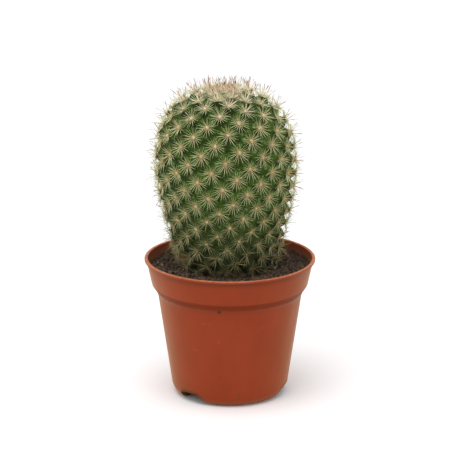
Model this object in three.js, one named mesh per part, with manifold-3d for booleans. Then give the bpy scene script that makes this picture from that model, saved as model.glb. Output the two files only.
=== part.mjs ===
// A ball cactus in its plastic nursery pot. Millimetres, +Z up.
// The origin is the middle of the pot's foot, and the front faces -Y.

import * as THREE from 'three';
import { ConvexHull } from 'three/addons/math/ConvexHull.js';
import { mergeVertices } from 'three/addons/utils/BufferGeometryUtils.js';
import Module from 'manifold-3d';

const wasm = await Module();
wasm.setup();

const gap = 0.3; // left between pieces that touch
const roundSides = 48; // sides of every turned shape

// The pot's sizes, all on its outer face
const pot = {
  height: 86,
  lipRadius: 52.5,
  lipHeight: 1.5,
  collarTopRadius: 51.2,
  collarFootRadius: 48,
  collarFootZ: 69.7,
  wallTopRadius: 44.5,
  wallTopZ: 64.7,
  footRadius: 36.05, // where the rounded foot corner meets the wall
  footRound: 7.7,
  footRingWidth: 3.4,
  baseRise: 1.6, // the middle of the base stands clear of the ground
  wall: 0.8,
};

// The arched drainage channels under the foot
const drain = {
  count: 3,
  firstAngle: -134, // degrees from +X
  width: 18.8,
  flatWidth: 7,
  height: 6.5,
  innerEnd: 20,
  holeRadius: 1.8,
  holeSide: 6.8, // each hole's distance from the channel's middle line
  holeReach: 33.2, // and from the pot's axis
};

// The soil lies a finger's breadth under the lip and is heaped round the stem
const soil = {
  level: 79.2,
  roughness: 0.8,
  heap: 2.6,
  heapRadius: 36,
  heapWidth: 7,
};

// The outline through the tips of the tubercles
const outline = {
  radius: 43.6,
  widestZ: 142,
  shoulderRise: 49,
  shoulderPower: 2.8,
  taper: 0.001003,
  taperPower: 1.4,
  lowestZ: 62,
};

// The whole stem leans a little to the left
const lean = { offset: -1.2, slope: -0.0134 };

// The plain foot of the stem, as it goes down into the soil: radius and height
const neck = [
  [24.4, 80.2],
  [22.8, 71],
  [19.6, 59],
];
const neckEndZ = 56;

// Tubercles follow one another at the golden angle while their cells fill the outline from the crown down
const tubercle = {
  divergence: 137.56,
  startAngle: 24.4,
  cellArea: 172.1,
  crowding: 42.65,
  shrink: 0.1535,
  first: 3,
  lowestZ: 83.8,
  ghosts: 22, // places below the last one that only bound its neighbours' cells
  valleyDepth: 0.44, // share of the width of a cell
};

// Spines stand on a small woolly cushion with one facet for each of them
const cushion = { radius: 1.3, drop: 0.45 };
const spine = {
  radialLength: 6.7,
  radialRise: 22, // degrees above the cushion's own plane
  centralLength: 6.3,
  centralRise: 52,
  crownExtra: 3.2, // added to the centrals' length where the cells are smallest
  lengthSpread: 0.6,
  riseSpread: 6,
  turnSpread: 7,
  crownLift: 48, // extra rise of the radials where the cells are smallest
  soilClearance: 1,
  apart: 0.25, // least distance between the skins of two spines
};

// Facets round a cushion: middle direction in degrees from the uphill one, width, and kind
const facets = [
  [0, 34, 'central'],
  [43, 52, 'radial'],
  [90, 42, 'radial'],
  [137, 52, 'radial'],
  [180, 34, 'central'],
  [223, 52, 'radial'],
  [270, 42, 'radial'],
  [317, 52, 'radial'],
];

const fullCell = 10.9; // width of a cell in the middle of the stem

const radians = THREE.MathUtils.degToRad;

// A repeatable draw between -1 and 1
function seededDraw(seed) {
  let state = seed;
  return () => {
    state = (state + 0x6d2b79f5) | 0;
    let mixed = Math.imul(state ^ (state >>> 15), 1 | state);
    mixed = (mixed + Math.imul(mixed ^ (mixed >>> 7), 61 | mixed)) ^ mixed;
    return ((mixed ^ (mixed >>> 14)) >>> 0) / 2147483648 - 1;
  };
}

// Joining and cutting

function toSolid(geometry) {
  const bare = new THREE.BufferGeometry();
  bare.setAttribute('position', geometry.getAttribute('position').clone());
  if (geometry.index) bare.setIndex(geometry.index.clone());
  const merged = mergeVertices(bare, 1e-4);
  const kept = [];
  const index = merged.index.array;
  for (let i = 0; i < index.length; i += 3) {
    const [a, b, c] = index.slice(i, i + 3);
    if (a !== b && b !== c && c !== a) kept.push(a, b, c);
  }
  return new wasm.Manifold(
    new wasm.Mesh({
      numProp: 3,
      vertProperties: merged.attributes.position.array,
      triVerts: new Uint32Array(kept),
    }),
  );
}

function toGeometry(solid) {
  const mesh = solid.getMesh();
  const geometry = new THREE.BufferGeometry();
  geometry.setAttribute('position', new THREE.BufferAttribute(mesh.vertProperties, 3));
  geometry.setIndex(new THREE.BufferAttribute(mesh.triVerts, 1));
  return geometry;
}

// A closed outline of [radius, height] points that starts and ends on the axis, turned about it
function turned(points) {
  const profile = points.map(([radius, z]) => new THREE.Vector2(radius, z));
  return new THREE.LatheGeometry(profile, roundSides).rotateX(Math.PI / 2);
}

// The pot

// The pot's outline from the foot up, moved inwards by an inset
function potOutline(inset) {
  const { footRadius, footRound, footRingWidth, baseRise } = pot;
  const centre = footRadius - footRound;
  const round = footRound - inset;
  const points = [
    [0, baseRise + inset],
    [centre - footRingWidth - 1.5, baseRise + inset],
    [centre - footRingWidth, inset],
    [centre, inset],
  ];
  const cornerSteps = 5;
  for (let i = 1; i <= cornerSteps; i += 1) {
    const angle = radians((82 * i) / cornerSteps);
    points.push([centre + round * Math.sin(angle), footRound - round * Math.cos(angle)]);
  }
  points.push([pot.wallTopRadius - inset, pot.wallTopZ + inset * 0.5]);
  points.push([pot.collarFootRadius - inset, pot.collarFootZ + inset * 0.5]);
  return points;
}

function drainChannel(angle, inset) {
  const half = drain.width / 2 + inset;
  const flat = drain.flatWidth / 2 + inset * 0.5;
  const top = drain.height + inset;
  const section = new THREE.Shape();
  section.moveTo(-half, -2);
  section.lineTo(half, -2);
  section.lineTo(half, 0);
  section.quadraticCurveTo(half, top, flat, top);
  section.lineTo(-flat, top);
  section.quadraticCurveTo(-half, top, -half, 0);
  const start = drain.innerEnd - inset;
  const channel = new THREE.ExtrudeGeometry(section, {
    depth: pot.footRadius + 6 - start,
    bevelEnabled: false,
    curveSegments: 4,
  });
  const outward = new THREE.Vector3(Math.cos(angle), Math.sin(angle), 0);
  const across = new THREE.Vector3(-Math.sin(angle), Math.cos(angle), 0);
  const up = new THREE.Vector3(0, 0, 1);
  channel.translate(0, 0, start);
  return channel.applyMatrix4(new THREE.Matrix4().makeBasis(across, up, outward));
}

function drainHoles(angle) {
  return [-drain.holeSide, drain.holeSide].map((side) => {
    const hole = new THREE.CylinderGeometry(drain.holeRadius, drain.holeRadius, 12, 12);
    hole.rotateX(Math.PI / 2);
    hole.translate(drain.holeReach, side, 3);
    return hole.rotateZ(angle);
  });
}

function drainAngles() {
  const step = 360 / drain.count;
  return Array.from({ length: drain.count }, (_, i) => radians(drain.firstAngle + i * step));
}

function withoutChannels(solid, inset) {
  let cut = solid;
  for (const angle of drainAngles()) {
    cut = cut.subtract(toSolid(drainChannel(angle, inset)));
  }
  return cut;
}

function makePot() {
  const top = pot.height;
  const lipFoot = top - pot.lipHeight;
  const innerTop = pot.collarTopRadius - pot.wall;
  const skin = turned([
    ...potOutline(0),
    [pot.collarTopRadius, lipFoot - 0.2],
    [pot.lipRadius - 0.2, lipFoot],
    [pot.lipRadius, lipFoot + 0.4],
    [pot.lipRadius, top - 0.4],
    [pot.lipRadius - 0.4, top],
    [0, top],
  ]);
  const hollow = turned([...potOutline(pot.wall), [innerTop, top + 1], [0, top + 1]]);
  let shell = withoutChannels(toSolid(skin), 0);
  shell = shell.subtract(withoutChannels(toSolid(hollow), pot.wall));
  for (const angle of drainAngles()) {
    for (const hole of drainHoles(angle)) shell = shell.subtract(toSolid(hole));
  }
  return toGeometry(shell);
}

// The soil

// Height of the soil's crumbly face over a point
function soilHeight(x, y) {
  const coarse = Math.sin(x * 0.61 + 1.3 * Math.sin(y * 0.37)) * Math.cos(y * 0.53 - 0.8);
  const fine = Math.sin(x * 1.9 + y * 1.1) * Math.sin(y * 2.3 - x * 0.7);
  const reach = Math.hypot(x, y);
  const heap = soil.heap * Math.exp(-(((reach - soil.heapRadius) / soil.heapWidth) ** 2));
  const calm = THREE.MathUtils.smoothstep(reach, neck[0][0], soil.heapRadius);
  return soil.level + heap + soil.roughness * calm * (0.65 * coarse + 0.35 * fine);
}

function makeSoil() {
  const inset = pot.wall + gap;
  const socket = neck.map(([radius, z]) => [radius + gap * 1.2, z]).reverse();
  const mouth = socket.pop()[0];
  const side = potOutline(inset).reverse();
  const [sideRadius, sideZ] = side[0];
  const collarSlope = (pot.collarTopRadius - pot.collarFootRadius) / (pot.height - pot.collarFootZ);
  const rim = sideRadius + collarSlope * (soil.level - sideZ);
  const rings = 7;
  const top = [];
  for (let i = 0; i <= rings; i += 1) {
    top.push([mouth + ((rim - mouth) * i) / rings, soil.level]);
  }
  const body = turned([[0, neckEndZ - gap], ...socket, ...top, ...side].reverse());
  const place = body.getAttribute('position');
  for (let i = 0; i < place.count; i += 1) {
    const x = place.getX(i) + leanAt(soil.level) * socketShare(place, i, mouth);
    if (Math.abs(place.getZ(i) - soil.level) < 1e-3) place.setZ(i, soilHeight(x, place.getY(i)));
    place.setX(i, x);
  }
  return toGeometry(withoutChannels(toSolid(body), inset));
}

// The socket stands under the leaning stem: its points move over with it, the soil's outer face doesn't
function socketShare(place, i, mouth) {
  const reach = Math.hypot(place.getX(i), place.getY(i));
  const inSocket = reach <= mouth + 0.01 && place.getZ(i) > neckEndZ - 2 * gap;
  return inSocket ? 1 : 0;
}

// The stem

function leanAt(z) {
  return lean.offset + lean.slope * (z - soil.level);
}

function tipRadius(z) {
  const below = outline.widestZ - z;
  return outline.radius * (1 - outline.taper * below ** outline.taperPower);
}

// The outline as a list from the crown down, each point with its outward direction, the skin's area
// above it, and its latitude on the ball that the skin is mapped to without changing angles
function outlineTable() {
  const table = [];
  const steps = 400;
  const power = 2 / outline.shoulderPower;
  for (let i = 1; i <= steps; i += 1) {
    const angle = (Math.PI / 2) * (1 - i / steps);
    table.push({
      radius: outline.radius * Math.cos(angle) ** power,
      z: outline.widestZ + outline.shoulderRise * Math.sin(angle) ** power,
    });
  }
  for (let z = outline.widestZ - 0.2; z > outline.lowestZ; z -= 0.2) {
    table.push({ radius: tipRadius(z), z });
  }
  let area = Math.PI * table[0].radius ** 2;
  let spread = 0;
  table.forEach((point, i) => {
    const before = table[Math.max(i - 1, 0)];
    const after = table[Math.min(i + 1, table.length - 1)];
    const direction = new THREE.Vector2(before.z - after.z, after.radius - before.radius).normalize();
    const step = Math.hypot(point.radius - before.radius, point.z - before.z);
    const middle = (point.radius + before.radius) / 2;
    area += 2 * Math.PI * middle * step;
    spread += step / middle;
    Object.assign(point, { outR: direction.x, outZ: direction.y, area, spread });
  });
  const equator = table.find((point) => point.z <= 130).spread;
  table.forEach((point) => {
    point.spread = equator - point.spread;
  });
  return table;
}

const skinTable = outlineTable();

// Reads the table where one of its rising or falling columns takes a value
function skinAt(column, value) {
  const rising = skinTable[1][column] > skinTable[0][column];
  let low = 0;
  let high = skinTable.length - 1;
  while (high - low > 1) {
    const middle = (low + high) >> 1;
    if (skinTable[middle][column] < value === rising) low = middle;
    else high = middle;
  }
  const a = skinTable[low];
  const b = skinTable[high];
  const share = THREE.MathUtils.clamp((value - a[column]) / (b[column] - a[column]), 0, 1);
  const found = {};
  for (const key of Object.keys(a)) found[key] = a[key] + (b[key] - a[key]) * share;
  return found;
}

function ballPoint(spread, angle) {
  const latitude = 2 * Math.atan(Math.exp(spread)) - Math.PI / 2;
  const level = Math.cos(latitude);
  return new THREE.Vector3(level * Math.cos(angle), level * Math.sin(angle), Math.sin(latitude));
}

// A place on the skin: where it is, and its directions outwards, uphill and across
function skinFrame(skin, angle) {
  const cos = Math.cos(angle);
  const sin = Math.sin(angle);
  return {
    at: new THREE.Vector3(skin.radius * cos, skin.radius * sin, skin.z),
    out: new THREE.Vector3(skin.outR * cos, skin.outR * sin, skin.outZ),
    uphill: new THREE.Vector3(-skin.outZ * cos, -skin.outZ * sin, skin.outR),
    across: new THREE.Vector3(-sin, cos, 0),
  };
}

function areaAbove(count) {
  return (tubercle.cellArea * count ** 2) / (count + tubercle.crowding) - tubercle.shrink * count ** 2;
}

function placeTubercles() {
  const places = [];
  let left = tubercle.ghosts;
  for (let i = tubercle.first; left > 0; i += 1) {
    const skin = skinAt('area', areaAbove(i));
    const angle = radians(tubercle.startAngle + i * tubercle.divergence);
    const ghost = skin.z < tubercle.lowestZ;
    if (ghost) left -= 1;
    const cell = Math.sqrt(areaAbove(i + 0.5) - areaAbove(i - 0.5));
    places.push({
      ...skinFrame(skin, angle),
      angle,
      ghost,
      width: Math.min(cell, fullCell),
      ball: ballPoint(skin.spread, angle),
      ballScale: Math.cos(2 * Math.atan(Math.exp(skin.spread)) - Math.PI / 2) / skin.radius,
    });
  }
  return places;
}

// Triangles of the convex hull of points on the ball, as lists of indices
function hullTriangles(points) {
  const numbers = new Map(points.map((point, i) => [point, i]));
  const hull = new ConvexHull().setFromPoints(points);
  return hull.faces.map((face) => {
    const corners = [];
    let edge = face.edge;
    do {
      corners.push(numbers.get(edge.head().point));
      edge = edge.next;
    } while (edge !== face.edge);
    return corners;
  });
}

// Valleys lie where three cells meet, which on the ball is straight above a triangle of the hull
function placeValleys(places) {
  const valleys = [];
  for (const corners of hullTriangles(places.map((place) => place.ball))) {
    if (corners.every((i) => places[i].ghost)) continue;
    const [a, b, c] = corners.map((i) => places[i].ball);
    const ball = new THREE.Triangle(a, b, c).getNormal(new THREE.Vector3());
    const skin = skinAt('spread', Math.atanh(ball.z));
    const frame = skinFrame(skin, Math.atan2(ball.y, ball.x));
    const width = corners.reduce((sum, i) => sum + places[i].width, 0) / 3;
    const at = frame.at.addScaledVector(frame.out, -tubercle.valleyDepth * width);
    at.z = Math.max(at.z, neck[0][1] + 0.5);
    valleys.push({ ball, at });
  }
  return valleys;
}

// A direction round a place, in degrees from uphill, raised by another angle
function directionAt(place, turn, rise) {
  const flat = Math.cos(radians(rise));
  return new THREE.Vector3()
    .addScaledVector(place.uphill, Math.cos(radians(turn)) * flat)
    .addScaledVector(place.across, Math.sin(radians(turn)) * flat)
    .addScaledVector(place.out, Math.sin(radians(rise)));
}

// The spines of one tubercle, turned together by its own phase
function makeSpines(place, draw, phase) {
  const size = place.width / fullCell;
  return facets.map(([turn, , kind]) => {
    const crown = spine.crownLift * (1 - size);
    const central = kind === 'central';
    const rise = central ? spine.centralRise + crown * 0.6 : spine.radialRise + crown;
    const length = central
      ? spine.centralLength + spine.crownExtra * (1 - size)
      : spine.radialLength * (0.45 + 0.55 * size);
    const reach = length + spine.lengthSpread * draw();
    const heading = turn + phase + spine.turnSpread * draw();
    const away = directionAt(place, heading, rise + spine.riseSpread * draw());
    const root = place.at.clone().addScaledVector(away, cushion.radius * size * 0.5);
    const tip = place.at.clone().addScaledVector(away, reach);
    const lowest = soilHeight(tip.x, tip.y) + spine.soilClearance;
    if (tip.z < lowest) tip.z = lowest;
    return { root, tip, thickness: cushion.radius * size * 0.45 };
  });
}

// True where two tapering spines come closer than they may
function spinesMeet(one, other) {
  return comesNear(one, other) || comesNear(other, one);
}

function comesNear(one, other) {
  const steps = 16;
  const here = new THREE.Vector3();
  const nearest = new THREE.Vector3();
  const line = new THREE.Line3(other.root, other.tip);
  for (let i = 1; i <= steps; i += 1) {
    const share = i / steps;
    here.lerpVectors(one.root, one.tip, share);
    const along = line.closestPointToPointParameter(here, true);
    line.at(along, nearest);
    const skins = one.thickness * (1 - share) + other.thickness * (1 - along);
    if (here.distanceTo(nearest) < skins + spine.apart) return true;
  }
  return false;
}

// Each tubercle takes the first phase in which its spines miss those already placed
function placeSpines(places) {
  const draw = seededDraw(29);
  const reach = 2 * spine.radialLength + 2;
  const placed = [];
  for (const place of places) {
    const neighbours = placed.filter((other) => other.at.distanceTo(place.at) < reach);
    const near = neighbours.flatMap((other) => other.spines);
    const base = 14 * draw();
    let best = null;
    for (let attempt = 0; attempt < 40; attempt += 1) {
      const phase = base + 9 * attempt;
      const spines = makeSpines(place, draw, phase);
      const clashes = spines.filter((one) => near.some((other) => spinesMeet(one, other))).length;
      if (!best || clashes < best.clashes) best = { spines, phase, clashes };
      if (best.clashes === 0) break;
    }
    Object.assign(place, { spines: best.spines, phase: best.phase });
    placed.push(place);
  }
}

// Adds one tubercle's cushion: its top and the ring of corners between its facets
function addCushion(place, points) {
  const size = place.width / fullCell;
  const radius = cushion.radius * size;
  place.top = points.length;
  points.push({ ball: place.ball, at: place.at });
  const north = new THREE.Vector3(0, 0, 1);
  const across = new THREE.Vector3(-Math.sin(place.angle), Math.cos(place.angle), 0);
  const uphill = north.addScaledVector(place.ball, -place.ball.z).normalize();
  place.ring = facets.map(([turn, width], i) => {
    const corner = radians(turn - width / 2 + place.phase);
    const flat = new THREE.Vector3()
      .addScaledVector(uphill, Math.cos(corner))
      .addScaledVector(across, Math.sin(corner));
    const away = directionAt(place, turn - width / 2 + place.phase, 0);
    const at = place.at.clone().addScaledVector(away, radius);
    at.addScaledVector(place.out, -cushion.drop * size);
    const ball = place.ball.clone().addScaledVector(flat, radius * place.ballScale).normalize();
    points.push({ ball, at, place, facet: i });
    return points.length - 1;
  });
}

// Rings of the plain foot, which close the skin below the tubercles
function addNeck(points) {
  const sides = 24;
  neck.forEach(([radius, z], ring) => {
    const latitude = radians(-72 - 5 * ring);
    for (let i = 0; i < sides; i += 1) {
      const angle = ((i + 0.5 * ring) * 2 * Math.PI) / sides;
      const flat = new THREE.Vector3(Math.cos(angle), Math.sin(angle), 0);
      const ball = flat.clone().multiplyScalar(Math.cos(latitude)).setZ(Math.sin(latitude));
      points.push({ ball, at: flat.multiplyScalar(radius).setZ(z) });
    }
  });
  points.push({ ball: new THREE.Vector3(0, 0, -1), at: new THREE.Vector3(0, 0, neckEndZ) });
}

// Splits each facet of a cushion into three long triangles that meet at its spine's tip
function raiseSpines(places, triangles, points) {
  const owner = new Map();
  for (const place of places) {
    place.ring.forEach((corner, i) => {
      const next = place.ring[(i + 1) % place.ring.length];
      owner.set([place.top, corner, next].sort((a, b) => a - b).join(), place.spines[i]);
    });
  }
  return triangles.flatMap((corners) => {
    const mine = owner.get([...corners].sort((a, b) => a - b).join());
    if (!mine) return [corners];
    const [a, b, c] = corners;
    const tip = points.push({ at: mine.tip }) - 1;
    return [
      [a, b, tip],
      [b, c, tip],
      [c, a, tip],
    ];
  });
}

function makeCactus() {
  const all = placeTubercles();
  const places = all.filter((place) => !place.ghost);
  const points = [];
  placeSpines(places);
  for (const place of places) addCushion(place, points);
  points.push(...placeValleys(all));
  addNeck(points);
  const skin = hullTriangles(points.map((point) => point.ball));
  const triangles = raiseSpines(places, skin, points);
  const positions = points.flatMap(({ at }) => [at.x + leanAt(Math.max(at.z, soil.level)), at.y, at.z]);
  const geometry = new THREE.BufferGeometry();
  geometry.setAttribute('position', new THREE.Float32BufferAttribute(positions, 3));
  geometry.setIndex(triangles.flat());
  return geometry;
}

function named(name, geometry, look) {
  geometry.computeVertexNormals();
  const mesh = new THREE.Mesh(geometry, new THREE.MeshStandardMaterial(look));
  mesh.name = name;
  return mesh;
}

const plant = new THREE.Group();
plant.add(named('pot', makePot(), { color: 0x944028, roughness: 0.42, metalness: 0 }));
plant.add(named('soil', makeSoil(), { color: 0x2d2821, roughness: 0.95, metalness: 0 }));
plant.add(named('cactus', makeCactus(), { color: 0x4f6b38, roughness: 0.6, metalness: 0 }));

export default plant;
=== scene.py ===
import math

import bmesh
import bpy
import numpy as np
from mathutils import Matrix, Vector, noise


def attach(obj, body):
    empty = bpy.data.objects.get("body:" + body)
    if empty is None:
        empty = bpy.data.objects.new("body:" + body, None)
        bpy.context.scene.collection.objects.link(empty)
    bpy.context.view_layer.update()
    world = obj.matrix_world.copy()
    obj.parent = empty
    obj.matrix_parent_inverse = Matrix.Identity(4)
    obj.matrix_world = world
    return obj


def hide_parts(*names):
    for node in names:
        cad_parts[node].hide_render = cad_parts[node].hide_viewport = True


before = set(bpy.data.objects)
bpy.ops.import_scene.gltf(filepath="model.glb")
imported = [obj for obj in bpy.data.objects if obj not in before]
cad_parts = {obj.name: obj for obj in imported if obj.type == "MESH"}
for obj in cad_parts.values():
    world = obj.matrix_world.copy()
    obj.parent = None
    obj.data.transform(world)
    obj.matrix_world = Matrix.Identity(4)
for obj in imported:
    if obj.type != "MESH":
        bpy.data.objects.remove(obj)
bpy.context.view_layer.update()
scene = bpy.context.scene
print("frame loaded")


# small helpers

def linkObject(obj):
    scene.collection.objects.link(obj)
    return obj


def meshObject(name, points, faces):
    mesh = bpy.data.meshes.new(name)
    mesh.from_pydata([tuple(p) for p in points], [], faces)
    mesh.validate()
    mesh.shade_smooth()
    return linkObject(bpy.data.objects.new(name, mesh))


def evaluatedMesh(obj):
    # the object's mesh with its modifiers applied; the modifiers are removed
    depsgraph = bpy.context.evaluated_depsgraph_get()
    mesh = bpy.data.meshes.new_from_object(obj.evaluated_get(depsgraph), depsgraph=depsgraph)
    obj.modifiers.clear()
    obj.data = mesh
    return mesh


def storeAttribute(mesh, name, values, kind="FLOAT"):
    layer = mesh.attributes.new(name, kind, "POINT")
    field = "vector" if kind == "FLOAT_VECTOR" else "value"
    layer.data.foreach_set(field, np.asarray(values, dtype=np.float32).ravel())


def held(value):
    # kept between 0 and 1
    return np.clip(value, 0, 1)


def eased(share):
    return share * share * (3 - 2 * share)


def cosSin(degrees):
    return math.cos(math.radians(degrees)), math.sin(math.radians(degrees))


def addNode(tree, kind, inputs=None, **settings):
    node = tree.nodes.new(kind)
    for key, value in settings.items():
        setattr(node, key, value)
    for key, value in (inputs or {}).items():
        socket = node.inputs[key]
        if isinstance(value, bpy.types.NodeSocket):
            tree.links.new(value, socket)
        else:
            socket.default_value = value
    return node


def mathNode(tree, operation, *values):
    return addNode(tree, "ShaderNodeMath", dict(enumerate(values)), operation=operation).outputs[0]


def plus(tree, first, second):
    return mathNode(tree, "ADD", first, second)


def minus(tree, first, second):
    return mathNode(tree, "SUBTRACT", first, second)


def times(tree, first, second):
    return mathNode(tree, "MULTIPLY", first, second)


def vectorNode(tree, operation, *values):
    node = addNode(tree, "ShaderNodeVectorMath", dict(enumerate(values)), operation=operation)
    return node.outputs["Value" if operation == "LENGTH" else "Vector"]


def scaled(tree, vector, factor):
    node = addNode(tree, "ShaderNodeVectorMath", {0: vector, "Scale": factor}, operation="SCALE")
    return node.outputs["Vector"]


def combined(tree, x, y, z):
    return addNode(tree, "ShaderNodeCombineXYZ", {0: x, 1: y, 2: z}).outputs[0]


def parted(tree, vector):
    return addNode(tree, "ShaderNodeSeparateXYZ", {0: vector}).outputs


def mapRange(tree, value, low, high, toLow=0.0, toHigh=1.0):
    inputs = {"Value": value, "From Min": low, "From Max": high, "To Min": toLow, "To Max": toHigh}
    return addNode(tree, "ShaderNodeMapRange", inputs).outputs["Result"]


def ramp(tree, value, low, high, most=1.0):
    # from 0 at the first value to the most at the second
    return mapRange(tree, value, low, high, 0.0, most)


# materials

def srgb(tone):
    parts = [c / 255 for c in tone]
    return tuple(c / 12.92 if c <= 0.04045 else ((c + 0.055) / 1.055) ** 2.4 for c in parts) + (1.0,)


def newMaterial(name, roughness, **sockets):
    material = bpy.data.materials.new(name)
    material.use_nodes = True
    tree = material.node_tree
    shader = tree.nodes["Principled BSDF"]
    shader.inputs["Roughness"].default_value = roughness
    for key, value in sockets.items():
        shader.inputs[key.replace("_", " ")].default_value = value
    return material, tree, shader


def objectPlace(tree, scale=(1, 1, 1)):
    place = addNode(tree, "ShaderNodeTexCoord").outputs["Object"]
    return addNode(tree, "ShaderNodeMapping", {"Vector": place, "Scale": scale}).outputs["Vector"]


def noiseTexture(tree, place, scale, detail=3.0, roughness=0.5, distortion=0.0):
    inputs = {"Vector": place, "Scale": scale, "Detail": detail,
              "Roughness": roughness, "Distortion": distortion}
    return addNode(tree, "ShaderNodeTexNoise", inputs).outputs["Fac"]


def attributeValue(tree, name):
    return addNode(tree, "ShaderNodeAttribute", attribute_name=name).outputs["Fac"]


def mixColour(tree, share, first, second, blend="MIX"):
    # colours are sockets, or tones of red, green and blue up to 255
    first, second = (srgb(c) if isinstance(c, tuple) else c for c in (first, second))
    inputs = {0: share, 6: first, 7: second}
    return addNode(tree, "ShaderNodeMix", inputs, data_type="RGBA", blend_type=blend).outputs[2]


def bumpFrom(tree, shader, height, strength, distance):
    bump = addNode(tree, "ShaderNodeBump", {"Height": height, "Strength": strength, "Distance": distance})
    tree.links.new(bump.outputs["Normal"], shader.inputs["Normal"])


def spotOn(tree, place, centre, size):
    # 1 at the middle of a small mark, 0 outside it
    width, height = size
    away = vectorNode(tree, "SUBTRACT", place, centre)
    distance = vectorNode(tree, "LENGTH", vectorNode(tree, "DIVIDE", away, (width, width, height)))
    return ramp(tree, distance, 1.0, 0.5)


# the trees that grow what repeats

def newTree(name, sizes):
    tree = bpy.data.node_groups.new(name, "GeometryNodeTree")
    tree.interface.new_socket(name="Geometry", in_out="INPUT", socket_type="NodeSocketGeometry")
    tree.interface.new_socket(name="Geometry", in_out="OUTPUT", socket_type="NodeSocketGeometry")
    for label, value in sizes.items():
        kind = "NodeSocketInt" if isinstance(value, int) else "NodeSocketFloat"
        tree.interface.new_socket(name=label, in_out="INPUT", socket_type=kind)
    tree.interface.new_socket(name="Material", in_out="INPUT", socket_type="NodeSocketMaterial")
    return tree, tree.nodes.new("NodeGroupInput").outputs


def finishTree(tree, geometry, material):
    joined = addNode(tree, "GeometryNodeRealizeInstances", {"Geometry": geometry}).outputs[0]
    painted = addNode(tree, "GeometryNodeSetMaterial", {"Geometry": joined, "Material": material}).outputs[0]
    addNode(tree, "NodeGroupOutput", {0: painted})


def named(tree, name, kind="FLOAT"):
    node = addNode(tree, "GeometryNodeInputNamedAttribute", {"Name": name}, data_type=kind)
    return node.outputs["Attribute"]


def keep(tree, geometry, name, value, domain="POINT"):
    inputs = {"Geometry": geometry, "Name": name, "Value": value}
    settings = {"data_type": "FLOAT", "domain": domain}
    return addNode(tree, "GeometryNodeStoreNamedAttribute", inputs, **settings).outputs[0]


def pointPlace(tree):
    return addNode(tree, "GeometryNodeInputPosition").outputs[0]


def shifted(tree, geometry, **sockets):
    return addNode(tree, "GeometryNodeSetPosition", {"Geometry": geometry, **sockets}).outputs[0]


def facing(tree, direction):
    inputs = {"Vector": direction}
    return addNode(tree, "FunctionNodeAlignRotationToVector", inputs, axis="Z").outputs[0]


def randomValue(tree, given, step, low=0.0, high=1.0):
    # each step has its own random numbers
    inputs = {"Min_001": low, "Max_001": high, "Seed": plus(tree, given["Seed"], float(step))}
    node = addNode(tree, "FunctionNodeRandomValue", data_type="FLOAT")
    for socket in node.inputs:
        value = inputs.get(socket.identifier)
        if isinstance(value, bpy.types.NodeSocket):
            tree.links.new(value, socket)
        elif value is not None:
            socket.default_value = value
    return node.outputs[1]


def wander(tree, given, step, spread):
    # up to the spread either way
    return times(tree, randomValue(tree, given, step, -1.0, 1.0), given[spread])


def standOn(tree, points, shape, rotation, scale, chosen=True):
    inputs = {"Points": points, "Selection": chosen, "Instance": shape, "Rotation": rotation, "Scale": scale}
    return addNode(tree, "GeometryNodeInstanceOnPoints", inputs).outputs[0]


def lumpy(tree, geometry, given):
    # real copies, each with its skin pushed about
    joined = addNode(tree, "GeometryNodeRealizeInstances", {"Geometry": geometry}).outputs[0]
    inputs = {"Vector": pointPlace(tree), "Scale": given["Lump Scale"], "Detail": 2.0}
    lumps = addNode(tree, "ShaderNodeTexNoise", inputs).outputs["Color"]
    centred = vectorNode(tree, "SUBTRACT", lumps, (0.5, 0.5, 0.5))
    return shifted(tree, joined, Offset=scaled(tree, centred, given["Lumps"]))


def slimCone(tree, sides, segments, radius, fullness, bend, sunk=0.0):
    # a cone of unit length, full to near its tip and bent to one side
    inputs = {"Vertices": sides, "Side Segments": segments, "Radius Top": 0.0,
              "Radius Bottom": radius, "Depth": 1.0}
    cone = addNode(tree, "GeometryNodeMeshCone", inputs, fill_type="NGON").outputs["Mesh"]
    place = parted(tree, pointPlace(tree))
    toTip = mathNode(tree, "MAXIMUM", minus(tree, 1.0, place["Z"]), 0.01)
    fuller = mathNode(tree, "POWER", toTip, times(tree, fullness, -1.0))
    x = plus(tree, times(tree, place["X"], fuller), bend)
    y = times(tree, place["Y"], fuller)
    return shifted(tree, cone, Position=combined(tree, x, y, minus(tree, place["Z"], sunk)))


def grow(name, base, tree, values, material):
    piece = linkObject(bpy.data.objects.new(name, base))
    modifier = piece.modifiers.new("grow", "NODES")
    modifier.node_group = tree
    for item in tree.interface.items_tree:
        if item.in_out == "INPUT" and item.name in values:
            modifier[item.identifier] = values[item.name]
        if item.in_out == "INPUT" and item.name == "Material":
            modifier[item.identifier] = material
    mesh = evaluatedMesh(piece)
    mesh.name = name
    for helper in ("out", "uphill", "size"):  # only the growing needed these
        if helper in mesh.attributes:
            mesh.attributes.remove(mesh.attributes[helper])
    print(name, len(mesh.polygons), "faces")
    return piece


# the pot

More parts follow.
